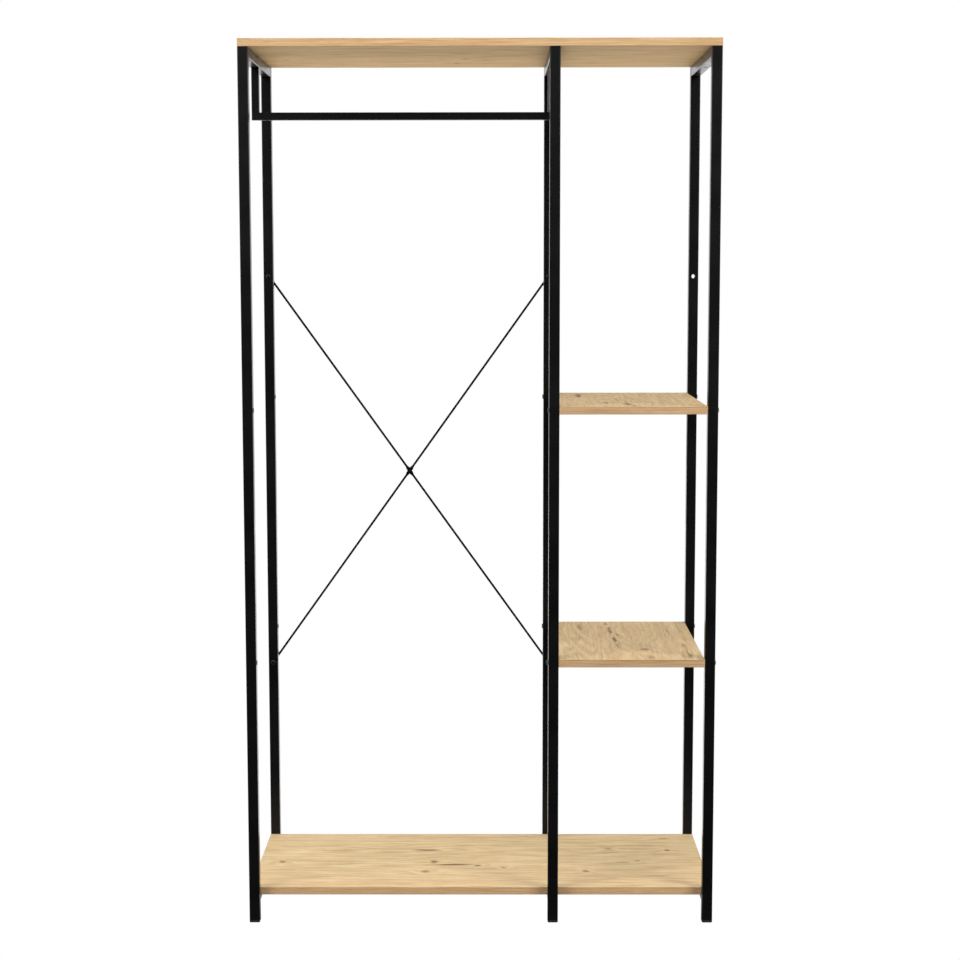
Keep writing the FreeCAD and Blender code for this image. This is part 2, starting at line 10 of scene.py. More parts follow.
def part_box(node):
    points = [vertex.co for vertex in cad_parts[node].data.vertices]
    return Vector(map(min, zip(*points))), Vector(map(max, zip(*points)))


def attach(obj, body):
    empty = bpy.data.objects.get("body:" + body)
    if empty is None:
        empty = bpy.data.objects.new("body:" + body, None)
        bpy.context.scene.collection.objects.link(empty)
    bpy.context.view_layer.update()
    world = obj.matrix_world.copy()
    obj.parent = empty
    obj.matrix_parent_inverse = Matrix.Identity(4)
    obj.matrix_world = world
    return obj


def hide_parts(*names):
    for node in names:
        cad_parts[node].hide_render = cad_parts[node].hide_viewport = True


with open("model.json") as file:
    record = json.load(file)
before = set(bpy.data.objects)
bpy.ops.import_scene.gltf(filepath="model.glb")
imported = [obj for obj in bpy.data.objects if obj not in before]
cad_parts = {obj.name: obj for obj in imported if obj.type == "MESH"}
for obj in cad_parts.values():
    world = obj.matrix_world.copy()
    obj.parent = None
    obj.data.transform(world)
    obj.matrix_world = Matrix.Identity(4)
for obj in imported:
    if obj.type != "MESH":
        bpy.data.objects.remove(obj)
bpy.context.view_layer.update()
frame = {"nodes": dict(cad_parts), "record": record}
nodes = frame["nodes"]

X, Y, Z = range(3)

# Sockets of Blender's Mix node, which has several of each name
MIX_FACTOR = 0
MIX_VECTORS = (4, 5)
MIX_VECTOR_RESULT = 1
MIX_COLOURS = (6, 7)
MIX_COLOUR_RESULT = 2

# Values between which most of a noise lies, and those of its rare peaks
NOISE_RANGE = (0.3, 0.7)
NOISE_PEAKS = (0.62, 0.74)


class Finish:
    """A material, with short calls for the nodes that give its colour, gloss and relief."""

    def __init__(self, name):
        self.material = bpy.data.materials.new(name)
        self.material.use_nodes = True
        self.tree = self.material.node_tree
        self.shader = self.tree.nodes["Principled BSDF"]
        coordinates = self.tree.nodes.new("ShaderNodeTexCoord")
        self.place = coordinates.outputs["Object"]
        self.normal = coordinates.outputs["Normal"]

    def put(self, value, socket):
        """Links an output to a socket, or sets the socket to a plain value."""
        if isinstance(value, bpy.types.NodeSocket):
            self.tree.links.new(value, socket)
        else:
            socket.default_value = value

    def calculate(self, operation, first, second=0.0):
        """The result of a Math node."""
        node = self.tree.nodes.new("ShaderNodeMath")
        node.operation = operation
        self.put(first, node.inputs[0])
        self.put(second, node.inputs[1])
        return node.outputs["Value"]

    def vector(self, operation, *values):
        """The result of a Vector Math node."""
        node = self.tree.nodes.new("ShaderNodeVectorMath")
        node.operation = operation
        for value, socket in zip(values, node.inputs):
            self.put(value, socket)
        return node.outputs["Value" if operation == "LENGTH" else "Vector"]

    def along(self, vector, axis):
        """A vector's part along the axis of that name."""
        node = self.tree.nodes.new("ShaderNodeSeparateXYZ")
        self.put(vector, node.inputs["Vector"])
        return node.outputs[axis]

    def turned(self, degrees):
        """The place on the surface, turned about the vertical."""
        node = self.tree.nodes.new("ShaderNodeMapping")
        node.inputs["Rotation"].default_value = (0.0, 0.0, math.radians(degrees))
        self.put(self.place, node.inputs["Vector"])
        return node.outputs["Vector"]

    def noise(self, place, stretch, shift=(0.0, 0.0, 0.0), detail=2.0, roughness=0.5, distortion=0.0):
        """Noise that varies stretch times per metre along each axis."""
        node = self.tree.nodes.new("ShaderNodeTexNoise")
        node.inputs["Scale"].default_value = 1.0
        node.inputs["Detail"].default_value = detail
        node.inputs["Roughness"].default_value = roughness
        node.inputs["Distortion"].default_value = distortion
        self.put(self.vector("MULTIPLY_ADD", place, stretch, shift), node.inputs["Vector"])
        return node.outputs

    def span(self, value, from_low, from_high, to_low=0.0, to_high=1.0, smooth=False):
        """The value, carried from one range to another and held at its ends."""
        node = self.tree.nodes.new("ShaderNodeMapRange")
        node.interpolation_type = "SMOOTHSTEP" if smooth else "LINEAR"
        limits = (value, from_low, from_high, to_low, to_high)
        for limit, socket in zip(limits, node.inputs):
            self.put(limit, socket)
        return node.outputs["Result"]

    def colours(self, value, *stops):
        """A colour that runs through the stops, each a position and three linear values."""
        node = self.tree.nodes.new("ShaderNodeValToRGB")
        elements = node.color_ramp.elements
        while len(elements) < len(stops):
            elements.new(1.0)
        for element, (position, colour) in zip(elements, stops):
            element.position = position
            element.color = (*colour, 1.0)
        self.put(value, node.inputs["Fac"])
        return node.outputs["Color"]

    def mixed(self, factor, first, second):
        """A colour that goes from the first to the second as the factor goes from 0 to 1."""
        node = self.tree.nodes.new("ShaderNodeMix")
        node.data_type = "RGBA"
        self.put(factor, node.inputs[MIX_FACTOR])
        for value, socket in zip((first, second), MIX_COLOURS):
            is_output = isinstance(value, bpy.types.NodeSocket)
            self.put(value if is_output else (*value, 1.0), node.inputs[socket])
        return node.outputs[MIX_COLOUR_RESULT]

    def mixed_vector(self, factor, first, second):
        """A vector that goes from the first to the second as the factor goes from 0 to 1."""
        node = self.tree.nodes.new("ShaderNodeMix")
        node.data_type = "VECTOR"
        self.put(factor, node.inputs[MIX_FACTOR])
        for value, socket in zip((first, second), MIX_VECTORS):
            self.put(value, node.inputs[socket])
        return node.outputs[MIX_VECTOR_RESULT]

    def relief(self, height, depth):
        """Bumps of that depth in metres."""
        node = self.tree.nodes.new("ShaderNodeBump")
        node.inputs["Distance"].default_value = depth
        self.put(height, node.inputs["Height"])
        self.put(node.outputs["Normal"], self.shader.inputs["Normal"])

    def surface(self, **values):
        """The material, with these inputs of its shader set or linked."""
        for name, value in values.items():
            self.put(value, self.shader.inputs[name.replace("_", " ")])
        return self.material


# Oak print

RINGS_IN_FIGURE = 12.0
RING_LINE_SHARE = 0.8
RING_TONE_SHARE = 0.27
STREAK_TONE_SHARE = 0.73
PORE_STRENGTH = 0.35
PORE_BROWN = (0.3, 0.18, 0.08)


def print_colour(finish, figure, streaks, pores, tones):
    """The oak print's colour from its growth rings, streaks and pores, all from 0 to 1."""
    rings = finish.calculate("FRACT", finish.calculate("MULTIPLY", figure, RINGS_IN_FIGURE))
    rings = finish.calculate("PINGPONG", finish.span(rings, 0.0, RING_LINE_SHARE, 0.0, 2.0), 1.0)
    ring_tone = finish.calculate("MULTIPLY", rings, RING_TONE_SHARE)
    streak_tone = finish.calculate("MULTIPLY", streaks, STREAK_TONE_SHARE)
    colour = finish.colours(finish.calculate("ADD", ring_tone, streak_tone), *tones)
    return finish.mixed(finish.calculate("MULTIPLY", pores, PORE_STRENGTH), colour, PORE_BROWN)


class Board(NamedTuple):
    """The oak print of one board and its edge bands.

    turn: degrees that turn the grain to the X axis
    shift: where the print lies in the endless noise
    fineness: streaks per metre across the grain
    tint: what the colour is multiplied by, which sets the decor's tone and also makes each board lighter or
    darker than the others as painted light and shade
    line: strength of the painted joint shadow at the top of the edge bands and of the pinkish part below it
    band_tone_and_shade: what the edge bands' colour is multiplied by, which sets their tone and also makes
    each board's bands lighter or darker as painted light and shade
    marks: knots and dark streaks, each x, y, half its length along the grain, half its width and its darkness
    swirls: where the growth rings bend, each x, y, half its length, half its width and the rings it adds
    underside_light_tint: a painted light tint of the lower face, warmer and brighter to stand in for light
    bounced onto it, where it has one of its own
    """

    turn: float
    shift: tuple
    fineness: float
    tint: tuple
    line: float
    band_tone_and_shade: float
    marks: tuple
    swirls: tuple = ()
    underside_light_tint: tuple = ()


# Painted light and shade: tint and band brightness differ from board to board on one and the same oak decor
BOARDS = {
    "top_board": Board(
        turn=0.0, shift=(3.1, 1.7, 0.4), fineness=90.0,
        tint=(0.86, 0.87, 0.82), line=0.0, band_tone_and_shade=0.94,
        marks=(
            (-0.384, 0.044, 0.008, 0.005, 0.6), (-0.313, 0.03, 0.02, 0.003, 0.4),
            (-0.272, -0.048, 0.01, 0.004, 0.35), (-0.042, -0.063, 0.03, 0.004, 0.7),
            (-0.029, 0.031, 0.012, 0.01, 0.6), (0.005, 0.062, 0.024, 0.004, 0.5),
            (-0.047, 0.119, 0.01, 0.01, 0.5), (0.371, -0.137, 0.014, 0.003, 0.6),
            (0.363, -0.053, 0.012, 0.003, 0.4), (0.224, 0.103, 0.008, 0.004, 0.4)),
        underside_light_tint=(1.0, 0.9, 0.7)),
    "bottom_shelf": Board(
        turn=0.0, shift=(7.3, 4.2, 2.9), fineness=120.0,
        tint=(0.97, 0.985, 0.97), line=0.2, band_tone_and_shade=1.09,
        marks=(
            (-0.405, -0.018, 0.009, 0.008, 0.8), (-0.114, 0.063, 0.034, 0.006, 0.85),
            (-0.095, -0.016, 0.01, 0.01, 0.8), (-0.055, -0.035, 0.045, 0.006, 0.95),
            (-0.008, -0.041, 0.008, 0.007, 0.75), (-0.112, -0.08, 0.01, 0.009, 0.7),
            (0.046, -0.055, 0.007, 0.006, 0.5), (0.263, 0.071, 0.008, 0.007, 0.5),
            (0.21, -0.077, 0.008, 0.008, 0.6), (0.319, -0.009, 0.007, 0.006, 0.5),
            (0.386, 0.062, 0.008, 0.007, 0.65), (0.287, -0.019, 0.016, 0.005, 0.4),
            (0.385, 0.144, 0.016, 0.006, 0.5))),
    "upper_side_shelf": Board(
        turn=-90.0, shift=(11.9, 6.6, 5.1), fineness=220.0,
        tint=(0.75, 0.74, 0.68), line=0.15, band_tone_and_shade=0.93,
        marks=(
            (0.199, 0.112, 0.06, 0.008, 0.85), (0.243, -0.105, 0.035, 0.006, 0.7),
            (0.284, -0.132, 0.04, 0.008, 0.85), (0.292, -0.185, 0.02, 0.008, 0.6),
            (0.27, -0.022, 0.025, 0.005, 0.45)),
        swirls=((0.22, -0.02, 0.3, 0.05, 3.0), (0.3, -0.12, 0.12, 0.04, 2.0))),
    "lower_side_shelf": Board(
        turn=-90.0, shift=(15.2, 9.3, 8.8), fineness=220.0,
        tint=(0.84, 0.84, 0.81), line=0.3, band_tone_and_shade=0.96,
        marks=(
            (0.206, 0.136, 0.04, 0.007, 0.5), (0.262, 0.172, 0.018, 0.004, 0.7),
            (0.265, 0.1, 0.045, 0.004, 0.85), (0.27, 0.0, 0.035, 0.004, 0.85),
            (0.272, -0.063, 0.025, 0.004, 0.6), (0.278, 0.06, 0.03, 0.003, 0.6),
            (0.322, -0.098, 0.014, 0.014, 0.5), (0.328, -0.175, 0.02, 0.008, 0.4),
            (0.404, -0.155, 0.035, 0.005, 0.6), (0.403, -0.065, 0.03, 0.005, 0.45)),
        swirls=((0.31, 0.1, 0.24, 0.045, 4.0), (0.2, 0.05, 0.25, 0.04, 2.0))),
}

# A hump's foot and level top, as distances from its middle in half sizes of its oval
HUMP_FOOT = 1.25
HUMP_TOP = 0.3
KNOT_BEND_REACH = 3.2
KNOT_BEND = 0.03
KNOT_BEND_BY_DARKNESS = 0.05


def hump(finish, place, along, centre, half_length, half_width, height):
    """Rises from 0 to that height towards the middle of an oval, which is long along X or Y."""
    stretch = [0.0, 0.0, 0.0]
    stretch[along] = 1.0 / half_length
    stretch[Y if along == X else X] = 1.0 / half_width
    offset = (-centre[X] * stretch[X], -centre[Y] * stretch[Y], 0.0)
    distance = finish.vector("LENGTH", finish.vector("MULTIPLY_ADD", place, stretch, offset))
    return finish.span(distance, HUMP_FOOT, HUMP_TOP, 0.0, height, smooth=True)


def knots(finish, place, board):
    """How dark the board's marks make the print, and how far marks and swirls bend the growth rings."""
    along = X if board.turn == 0 else Y
    dark, bend = 0.0, 0.0
    for *centre, half_length, half_width, darkness in board.marks:
        mark = hump(finish, place, along, centre, half_length, half_width, darkness)
        dark = finish.calculate("MAXIMUM", mark, dark)
        reach = (KNOT_BEND_REACH * half_length, KNOT_BEND_REACH * half_width)
        mark_bend = KNOT_BEND + KNOT_BEND_BY_DARKNESS * darkness
        bend = finish.calculate("ADD", hump(finish, place, along, centre, *reach, mark_bend), bend)
    for *centre, half_length, half_width, rings in board.swirls:
        swirl = hump(finish, place, along, centre, half_length, half_width, rings / RINGS_IN_FIGURE)
        bend = finish.calculate("ADD", swirl, bend)
    return dark, bend


# Noises of the boards, in variations per metre along the grain, across it and upwards
WAVER_NOISE = (30.0, 90.0, 90.0)
FIGURE_NOISE = (1.0, 14.0, 6.0)
PORE_NOISE = (45.0, 1300.0, 1300.0)
REDNESS_NOISE = (1.1, 6.0, 6.0)
DASH_NOISE = (12.0, 240.0, 240.0)

WAVER_REACH = (0.012, 0.008, 0.0)
FIBRE_LENGTH_TO_WIDTH = 9.0
FIBRE_RANGE = (0.28, 0.7)
FIBRE_TONES = (0.16, 0.84)
REDNESS_RANGE = (0.35, 0.7)
REDNESS = 0.35
DASH_PEAKS = (0.59, 0.7)
DASH_DARKNESS = 0.36
OAK_ROUGHNESS = (0.68, 0.55)

# Marks are stronger in dark fibres than in light ones
MARKED_FIBRES = (0.1, 0.9)
MARK_STRENGTHS = (1.35, 0.6)

OAK_TONES = (
    (0.0, (0.30, 0.195, 0.095)), (0.4, (0.465, 0.335, 0.182)),
    (0.7, (0.55, 0.418, 0.24)), (1.0, (0.64, 0.51, 0.32)))
REDDISH_OAK = (0.54, 0.365, 0.215)
KNOT_BROWN = (0.11, 0.05, 0.016)
OAK_RELIEF = 0.00008


def oak(name, board):
    """Oak decor with straight grain, knots, dark dashes and pores."""
    finish = Finish(name)
    grain = finish.turned(board.turn)

    def noise(stretch, **options):
        return finish.noise(grain, stretch, board.shift, **options)

    waver = noise(WAVER_NOISE, detail=3.0)["Color"]
    waver = finish.vector("MULTIPLY_ADD", waver, WAVER_REACH, [-reach / 2 for reach in WAVER_REACH])
    dark, bend = knots(finish, finish.vector("ADD", finish.place, waver), board)
    figure = noise(FIGURE_NOISE, roughness=0.4, distortion=0.2)["Fac"]
    figure = finish.calculate("ADD", figure, bend)
    fibre_noise = (board.fineness / FIBRE_LENGTH_TO_WIDTH, board.fineness, board.fineness)
    fibres = noise(fibre_noise, detail=5.0, roughness=0.72)["Fac"]
    fibres = finish.span(fibres, *FIBRE_RANGE, *FIBRE_TONES)
    pores = finish.span(noise(PORE_NOISE, detail=1.0)["Fac"], *NOISE_PEAKS, smooth=True)
    colour = print_colour(finish, figure, fibres, pores, OAK_TONES)
    redness = finish.span(noise(REDNESS_NOISE, detail=1.0)["Fac"], *REDNESS_RANGE, 0.0, REDNESS)
    colour = finish.mixed(redness, colour, REDDISH_OAK)
    dashes = noise(DASH_NOISE, roughness=0.6)["Fac"]
    dashes = finish.span(dashes, *DASH_PEAKS, 0.0, DASH_DARKNESS, smooth=True)
    dark = finish.calculate("MULTIPLY", dark, finish.span(fibres, *MARKED_FIBRES, *MARK_STRENGTHS))
    colour = finish.mixed(finish.calculate("MAXIMUM", dark, dashes), colour, KNOT_BROWN)
    # Painted light: faces that point down take the underside_light_tint, which stands in for bounce light on
    # the underside
    faces_down = finish.calculate("LESS_THAN", finish.along(finish.normal, "Z"), 0.0)
    tint = finish.mixed(faces_down, board.tint, board.underside_light_tint or board.tint)
    colour = finish.vector("MULTIPLY", colour, tint)
    finish.relief(finish.calculate("SUBTRACT", fibres, pores), OAK_RELIEF)
    roughness = finish.span(fibres, 0.0, 1.0, *OAK_ROUGHNESS)
    return finish.surface(Base_Color=colour, Roughness=roughness, Specular_IOR_Level=0.1, IOR=1.3)


# Noises of the edge bands, as above
BAND_FIGURE_NOISE = (2.4, 30.0, 90.0)
BAND_FIBRE_NOISE = (11.0, 300.0, 520.0)
BAND_PORE_NOISE = (60.0, 900.0, 1500.0)

BAND_TONES = (
    (0.0, (0.42, 0.245, 0.118)), (0.45, (0.54, 0.34, 0.17)),
    (0.75, (0.59, 0.4, 0.218)), (1.0, (0.65, 0.49, 0.3)))
BAND_FIBRE_RANGE = (0.32, 0.68)
BAND_ROUGHNESS = (0.6, 0.48)
BAND_RELIEF = 0.00005

# A painted joint shadow as a dark line at the top, and a pinkish part below it: depths where each starts and
# is full, and its colour
BAND_JOINT_SHADOW_AND_PINK = (
    (0.004, 0.001, (0.2, 0.1, 0.04)),
    (0.009, 0.013, (0.5, 0.32, 0.24)))
FACES_SIDEWAYS = 0.7


def oak_band(name, shift, top, line, tone_and_shade):
    """Oak-coloured edge band with a painted joint shadow and a pinkish part of that strength, and its grain
    along the edge it is on.
    """
    finish = Finish(name)
    sideways = finish.calculate("ABSOLUTE", finish.along(finish.normal, "X"))
    at_end = finish.calculate("GREATER_THAN", sideways, FACES_SIDEWAYS)
    grain = finish.mixed_vector(at_end, finish.place, finish.turned(-90.0))
    figure = finish.noise(grain, BAND_FIGURE_NOISE, shift, distortion=0.4)["Fac"]
    fibres = finish.noise(grain, BAND_FIBRE_NOISE, shift, detail=4.0, roughness=0.6)["Fac"]
    fibres = finish.span(fibres, *BAND_FIBRE_RANGE)
    pores = finish.noise(grain, BAND_PORE_NOISE, shift, detail=1.0)["Fac"]
    pores = finish.span(pores, *NOISE_PEAKS, smooth=True)
    colour = print_colour(finish, figure, fibres, pores, BAND_TONES)
    height = finish.along(finish.place, "Z")
    # Painted shadow: the dark line at the top stands for the shade in the joint under the board's face, and
    # below it the band turns pinkish
    for start, full, stripe_colour in BAND_JOINT_SHADOW_AND_PINK:
        strength = finish.span(height, top - start, top - full, 0.0, line, smooth=True)
        colour = finish.mixed(strength, colour, stripe_colour)
    # Partly the band's tone and partly painted light and shade, set board by board
    colour = finish.vector("MULTIPLY", colour, (tone_and_shade,) * 3)
    finish.relief(finish.calculate("SUBTRACT", fibres, pores), BAND_RELIEF)
    roughness = finish.span(fibres, 0.0, 1.0, *BAND_ROUGHNESS)
    return finish.surface(Base_Color=colour, Roughness=roughness, Specular_IOR_Level=0.3, IOR=1.3)


# Metal and plastic

COAT_BLACKS = ((0.0026, 0.0026, 0.0028), (0.004, 0.004, 0.0042))
OXIDE_BLACKS = ((0.45, (0.004, 0.004, 0.004)), (0.8, (0.014, 0.0135, 0.013)))
ZINC_GREYS = ((0.58, 0.61, 0.66), (0.68, 0.66, 0.6))
PLASTIC_BLACKS = ((0.009, 0.009, 0.009), (0.016, 0.016, 0.016))
OXIDE_ROUGHNESS = (0.3, 0.45)
ZINC_ROUGHNESS = (0.25, 0.45)
PLASTIC_ROUGHNESS = (0.42, 0.58)
FINE_RELIEF = 0.00001
PLASTIC_RELIEF = 0.00004

# Noises of metal and plastic, in variations per metre along X, Y and Z
COAT_PEEL_NOISE = (700.0, 700.0, 700.0)
COAT_CLOUD_NOISE = (14.0, 14.0, 14.0)
OXIDE_SCRATCH_NOISE = (2500.0, 2500.0, 500.0)
OXIDE_CLOUD_NOISE = (300.0, 300.0, 300.0)
ZINC_CAST_NOISE = (120.0, 120.0, 120.0)
ZINC_BRUSHING_NOISE = (3000.0, 3000.0, 300.0)
PLASTIC_GRAIN_NOISE = (2200.0, 2200.0, 2200.0)
PLASTIC_CLOUD_NOISE = (90.0, 90.0, 90.0)


def powder_coat(name, smoothest, roughest, gloss):
    """Black powder coat: fine orange peel, and gloss that varies a little along the tubes."""
    finish = Finish(name)
    peel = finish.noise(finish.place, COAT_PEEL_NOISE)["Fac"]
    cloud = finish.noise(finish.place, COAT_CLOUD_NOISE, detail=3.0)["Fac"]
    colour = finish.colours(cloud, *zip(NOISE_RANGE, COAT_BLACKS))
    finish.relief(peel, FINE_RELIEF)
    roughness = finish.span(cloud, *NOISE_RANGE, smoothest, roughest)
    return finish.surface(Base_Color=colour, Roughness=roughness, Specular_IOR_Level=gloss)


def black_steel():
    """Black oxide bolts and nuts, rubbed a little brighter in fine scratches."""
    finish = Finish("black_oxide_steel")
    scratches = finish.noise(finish.place, OXIDE_SCRATCH_NOISE, detail=3.0, roughness=0.7)["Fac"]
    cloud = finish.noise(finish.place, OXIDE_CLOUD_NOISE)["Fac"]
    colour = finish.colours(scratches, *OXIDE_BLACKS)
    finish.relief(scratches, FINE_RELIEF)
    roughness = finish.span(cloud, *NOISE_RANGE, *OXIDE_ROUGHNESS)
    return finish.surface(Base_Color=colour, Metallic=0.2, Roughness=roughness, Specular_IOR_Level=0.3)


def zinc_plate():
    """Bright zinc plating, with a bluish to yellowish cast and fine brushing."""
    finish = Finish("zinc_plating")
    cast = finish.noise(finish.place, ZINC_CAST_NOISE)["Fac"]
    brushing = finish.noise(finish.place, ZINC_BRUSHING_NOISE)["Fac"]
    colour = finish.colours(cast, *zip(NOISE_RANGE, ZINC_GREYS))
    finish.relief(brushing, FINE_RELIEF)
    roughness = finish.span(brushing, *NOISE_RANGE, *ZINC_ROUGHNESS)
    return finish.surface(Base_Color=colour, Metallic=1.0, Roughness=roughness)


def black_plastic():
    """Spark-eroded black plastic of caps and plugs."""
    finish = Finish("black_plastic")
    grain = finish.noise(finish.place, PLASTIC_GRAIN_NOISE)["Fac"]
    cloud = finish.noise(finish.place, PLASTIC_CLOUD_NOISE)["Fac"]
    colour = finish.colours(cloud, *zip(NOISE_RANGE, PLASTIC_BLACKS))
    finish.relief(grain, PLASTIC_RELIEF)
    roughness = finish.span(grain, *NOISE_RANGE, *PLASTIC_ROUGHNESS)
    return finish.surface(Base_Color=colour, Roughness=roughness)


# Finishes on the CAD nodes, by node or else by material slot

BAND_SHIFT = (0.0, 1.3, 0.0)
BAND_SHIFT_STEP = (2.7, 0.0, 0.6)
BEVELLED = ("brace_corner_nuts", "brace_centre_screw", "brace_centre_nut")
BEVEL_WIDTH = 0.0004

rod_coat = powder_coat("matt_black_coat", smoothest=0.55, roughest=0.65, gloss=0.06)
finishes = {
    "frame_coat": powder_coat("semi_gloss_black_coat", smoothest=0.26, roughest=0.34, gloss=0.25),
    "falling_brace_rod": rod_coat,
    "rising_brace_rod": rod_coat,
    "bolt_black": black_steel(),
    "zinc": zinc_plate(),
    "cap_plastic": black_plastic(),
}
for number, (name, board) in enumerate(BOARDS.items()):
    top = max(corner[Z] for corner in nodes[name].bound_box)
    shift = [start + number * step for start, step in zip(BAND_SHIFT, BAND_SHIFT_STEP)]
    finishes[name] = oak("oak_" + name, board)
    band = oak_band("oak_band_" + name, shift, top, board.line, board.band_tone_and_shade)
    finishes[name + "_edge_bands"] = band
for part in frame["record"]["subparts"]:
    node = nodes[part["node"]]
    node.data.materials.clear()
    node.data.materials.append(finishes.get(part["node"]) or finishes[part["material_slot"]])
for name in BEVELLED:
    bevel = nodes[name].modifiers.new("bevel", "BEVEL")
    bevel.width = BEVEL_WIDTH
    bevel.segments = 2
    bevel.limit_method = "ANGLE"


# Domed bolts and plugs in place of the plain CAD ones

RING_STEPS = 24
SHARP_DEGREES = 35.0


class Ring(NamedTuple):
    """One ring of a turned profile: a circle, or a hexagon with that radius to its flats."""

    radius: float
    height: float
    six_sided: bool = False


def ring_points(ring):
    """The ring's points about the Z axis."""
    for step in range(RING_STEPS):
        angle = math.tau * step / RING_STEPS
        off_flat = (angle + math.pi / 6) % (math.pi / 3) - math.pi / 6
        reach = ring.radius / math.cos(off_flat) if ring.six_sided else ring.radius
        yield Vector((reach * math.cos(angle), reach * math.sin(angle), ring.height))


def turned_pieces(name, node, slot, profile, places):
    """Equal turned pieces as one mesh that stands for a CAD node.

    The profile's rings run from the shank's end to the head's middle. Each place is a point on the face
    under the head, and the way that the head looks.
    """
    points, faces = [], []
    for spot, heading in places:
        turn = Vector((0.0, 0.0, 1.0)).rotation_difference(Vector(heading))
        first = len(points)
        for ring in profile:
            points.extend(Vector(spot) + turn @ point for point in ring_points(ring))
        last = len(points) - RING_STEPS
        for start in range(first, last, RING_STEPS):
            for step in range(RING_STEPS):
                here, there = start + step, start + (step + 1) % RING_STEPS
                faces.append((here, there, there + RING_STEPS, here + RING_STEPS))
        faces.append(tuple(reversed(range(first, first + RING_STEPS))))
        faces.append(tuple(range(last, last + RING_STEPS)))
    mesh = bpy.data.meshes.new(name)
    mesh.from_pydata(points, [], faces)
    mesh.shade_smooth()
    mesh.set_sharp_from_angle(angle=math.radians(SHARP_DEGREES))
    mesh.materials.append(finishes[slot])
    piece = bpy.data.objects.new(name, mesh)
    bpy.context.scene.collection.objects.link(piece)
    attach(piece, "root")
    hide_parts(node)


SHELF_BOLT_LENGTH = 0.05
BRACE_BOLT_LENGTH = 0.02825
SHANK_RADIUS = 0.003
SHANK_CHAMFER = 0.0005
HEAD_RADIUS = 0.00525
HEAD_EDGE = 0.0005
HEAD_HEIGHT = 0.002
HEAD_DOME = (Ring(0.0049, 0.0011), Ring(0.0041, 0.0016), Ring(0.0031, 0.0019))
SOCKET_RIM_RADIUS = 0.0026
SOCKET_HALF_WIDTH = 0.002
SOCKET_FLOOR = 0.0007

PLUG_STEM_RADIUS = 0.0041
PLUG_STEM_LENGTH = 0.006
PLUG_HEAD_RADIUS = 0.00505
PLUG_HEAD_EDGE = 0.0003
PLUG_DOME = (Ring(0.0046, 0.0008), Ring(0.0032, 0.0011), Ring(0.0012, 0.0012))
PLUG = (
    Ring(PLUG_STEM_RADIUS, -PLUG_STEM_LENGTH), Ring(PLUG_STEM_RADIUS, 0.0),
    Ring(PLUG_HEAD_RADIUS, 0.0), Ring(PLUG_HEAD_RADIUS, PLUG_HEAD_EDGE), *PLUG_DOME)
ROD_EYE_RADIUS = 0.007

LEFT = (-1.0, 0.0, 0.0)
RIGHT = (1.0, 0.0, 0.0)
FORWARD = (0.0, -1.0, 0.0)
LOW, HIGH = range(2)


def button_bolt(length):
    """Profile of a bolt with a low domed head and a key socket."""
    return (
        Ring(SHANK_RADIUS - SHANK_CHAMFER, -length), Ring(SHANK_RADIUS, SHANK_CHAMFER - length),
        Ring(SHANK_RADIUS, 0.0), Ring(HEAD_RADIUS, 0.0), Ring(HEAD_RADIUS, HEAD_EDGE), *HEAD_DOME,
        Ring(SOCKET_RIM_RADIUS, HEAD_HEIGHT), Ring(SOCKET_HALF_WIDTH, HEAD_HEIGHT, six_sided=True),
        Ring(SOCKET_HALF_WIDTH, SOCKET_FLOOR, six_sided=True))


def middle(name, axis):
    """The middle of a node's box along an axis."""
    low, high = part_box(name)
    return (low[axis] + high[axis]) / 2


def shelf_bolt_places(side, face, heading):
    """The places at both ends of the side shelves on a frame's posts, on the posts' low or high X face."""
    return [
        ((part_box(f"{side}_{end}_post")[face][X], middle(f"{side}_{end}_post", Y), middle(shelf, Z)), heading)
        for end in ("front", "rear") for shelf in ("upper_side_shelf", "lower_side_shelf")]


turned_pieces("shelf_button_bolts", "side_shelf_bolts", "bolt_black", button_bolt(SHELF_BOLT_LENGTH), (
    *shelf_bolt_places("middle", LOW, LEFT), *shelf_bolt_places("right", HIGH, RIGHT)))
rod_low, rod_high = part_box("falling_brace_rod")
turned_pieces("brace_button_bolts", "brace_corner_bolts", "bolt_black", button_bolt(BRACE_BOLT_LENGTH), [
    ((middle(post, X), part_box(post)[LOW][Y], height), FORWARD)
    for post in ("left_rear_post", "middle_rear_post")
    for height in (rod_low[Z] + ROD_EYE_RADIUS, rod_high[Z] - ROD_EYE_RADIUS)])
turned_pieces("domed_hole_plugs", "hole_plugs", "cap_plastic", PLUG, shelf_bolt_places("left", HIGH, RIGHT))


# Stage, light and camera

WHITE = (1.0, 1.0, 1.0, 1.0)
FLOOR_REACH = 6.0
LIGHT_TARGET = (0.0, 0.0, 1.0)
SIDE_BOX_SIZE = (1.6, 2.2)
TOP_BOX_SIZE = (2.4, 1.6)
CAMERA_PLACE = (0.01581, -3.85826, 1.27391)
CAMERA_LENS = 72.78
CAMERA_SENSOR = 36.0
CAMERA_TURN_DEGREES = 0.2558
CAMERA_DROP_DEGREES = 6.3516
CAMERA_ROLL_DEGREES = -0.0635


def white_stage(tree, shader, strength, output):
    """White where the camera looks straight at it, and that strength for the light it sends to the rack."""
    path = tree.nodes.new("ShaderNodeLightPath")
    seen = tree.nodes.new(shader)
    sent = tree.nodes.new(shader)
    mix = tree.nodes.new("ShaderNodeMixShader")
    for node in (seen, sent):
        node.inputs["Color"].default_value = WHITE
    tree.links.new(strength, sent.inputs["Strength"])
    for source, socket in zip((path.outputs["Is Camera Ray"], sent.outputs[0], seen.outputs[0]), mix.inputs):
        tree.links.new(source, socket)
    tree.links.new(mix.outputs[0], tree.nodes.new(output).inputs["Surface"])


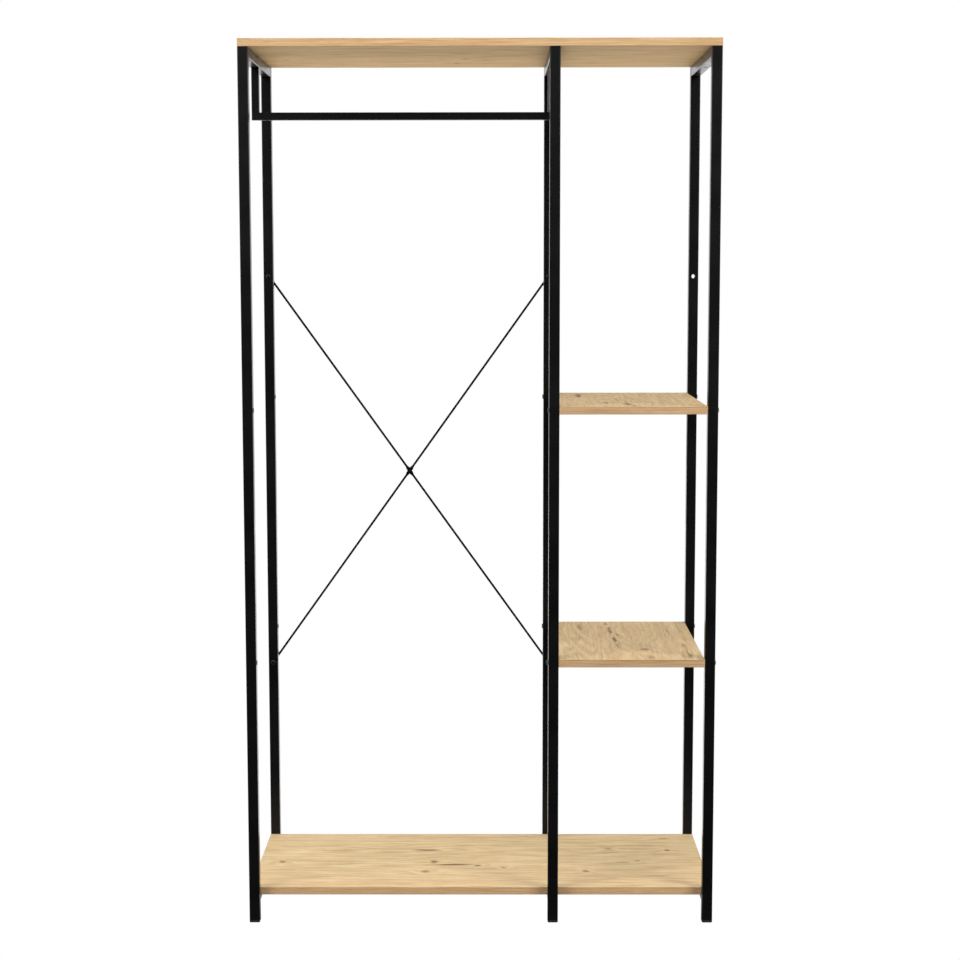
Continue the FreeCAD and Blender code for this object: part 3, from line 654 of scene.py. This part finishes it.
def gradient(tree, axis, low, high, dim, bright):
    """A brightness that rises from dim to bright between two places along an axis."""
    place = tree.nodes.new("ShaderNodeTexCoord")
    split = tree.nodes.new("ShaderNodeSeparateXYZ")
    span = tree.nodes.new("ShaderNodeMapRange")
    span.interpolation_type = "SMOOTHSTEP"
    tree.links.new(place.outputs["Generated"], split.inputs["Vector"])
    tree.links.new(split.outputs[axis], span.inputs["Value"])
    for limit, socket in zip((low, high, dim, bright), list(span.inputs)[1:]):
        if isinstance(limit, float):
            socket.default_value = limit
        else:
            tree.links.new(limit, socket)
    return span.outputs["Result"]


def soft_box(name, place, size, power):
    """A soft light that looks at the rack."""
    light = bpy.data.lights.new(name, "AREA")
    light.shape = "RECTANGLE"
    light.size, light.size_y = size
    light.energy = power
    lamp = bpy.data.objects.new(name, light)
    lamp.location = place
    lamp.rotation_euler = (Vector(LIGHT_TARGET) - Vector(place)).to_track_quat("-Z", "Y").to_euler()
    lamp.visible_camera = False
    scene.collection.objects.link(lamp)


scene = bpy.context.scene
scene.view_settings.view_transform = "Standard"

world = bpy.data.worlds.new("white_studio")
world.use_nodes = True
world.node_tree.nodes.clear()
front = gradient(world.node_tree, "Z", low=-0.06, high=0.16, dim=0.02, bright=0.4)
behind = gradient(world.node_tree, "Y", low=-0.2, high=0.3, dim=front, bright=1.4)
white_stage(world.node_tree, "ShaderNodeBackground", behind, "ShaderNodeOutputWorld")
scene.world = world

floor_mesh = bpy.data.meshes.new("floor")
floor_corners = [(x * FLOOR_REACH, y * FLOOR_REACH, 0.0) for x, y in ((-1, -1), (1, -1), (1, 1), (-1, 1))]
floor_mesh.from_pydata(floor_corners, [], [range(len(floor_corners))])
floor = bpy.data.objects.new("floor", floor_mesh)
scene.collection.objects.link(floor)
white = bpy.data.materials.new("floor_white")
white.use_nodes = True
white.node_tree.nodes.clear()
bounce = gradient(white.node_tree, "Y", low=0.475, high=0.535, dim=0.03, bright=2.0)
white_stage(white.node_tree, "ShaderNodeEmission", bounce, "ShaderNodeOutputMaterial")
floor_mesh.materials.append(white)

soft_box("left_box", (-3.0, -2.6, 2.8), SIDE_BOX_SIZE, power=110.0)
soft_box("right_box", (3.0, -2.6, 2.8), SIDE_BOX_SIZE, power=130.0)
soft_box("top_box", (0.0, -1.2, 3.9), TOP_BOX_SIZE, power=60.0)

camera = bpy.data.objects.new("camera", bpy.data.cameras.new("camera"))
camera.data.lens = CAMERA_LENS
camera.data.sensor_width = CAMERA_SENSOR
camera.matrix_world = (
    Matrix.Translation(CAMERA_PLACE)
    @ Matrix.Rotation(math.radians(CAMERA_TURN_DEGREES), 4, "Z")
    @ Matrix.Rotation(math.radians(90.0 - CAMERA_DROP_DEGREES), 4, "X")
    @ Matrix.Rotation(math.radians(CAMERA_ROLL_DEGREES), 4, "Z")
)
scene.collection.objects.link(camera)
scene.camera = camera
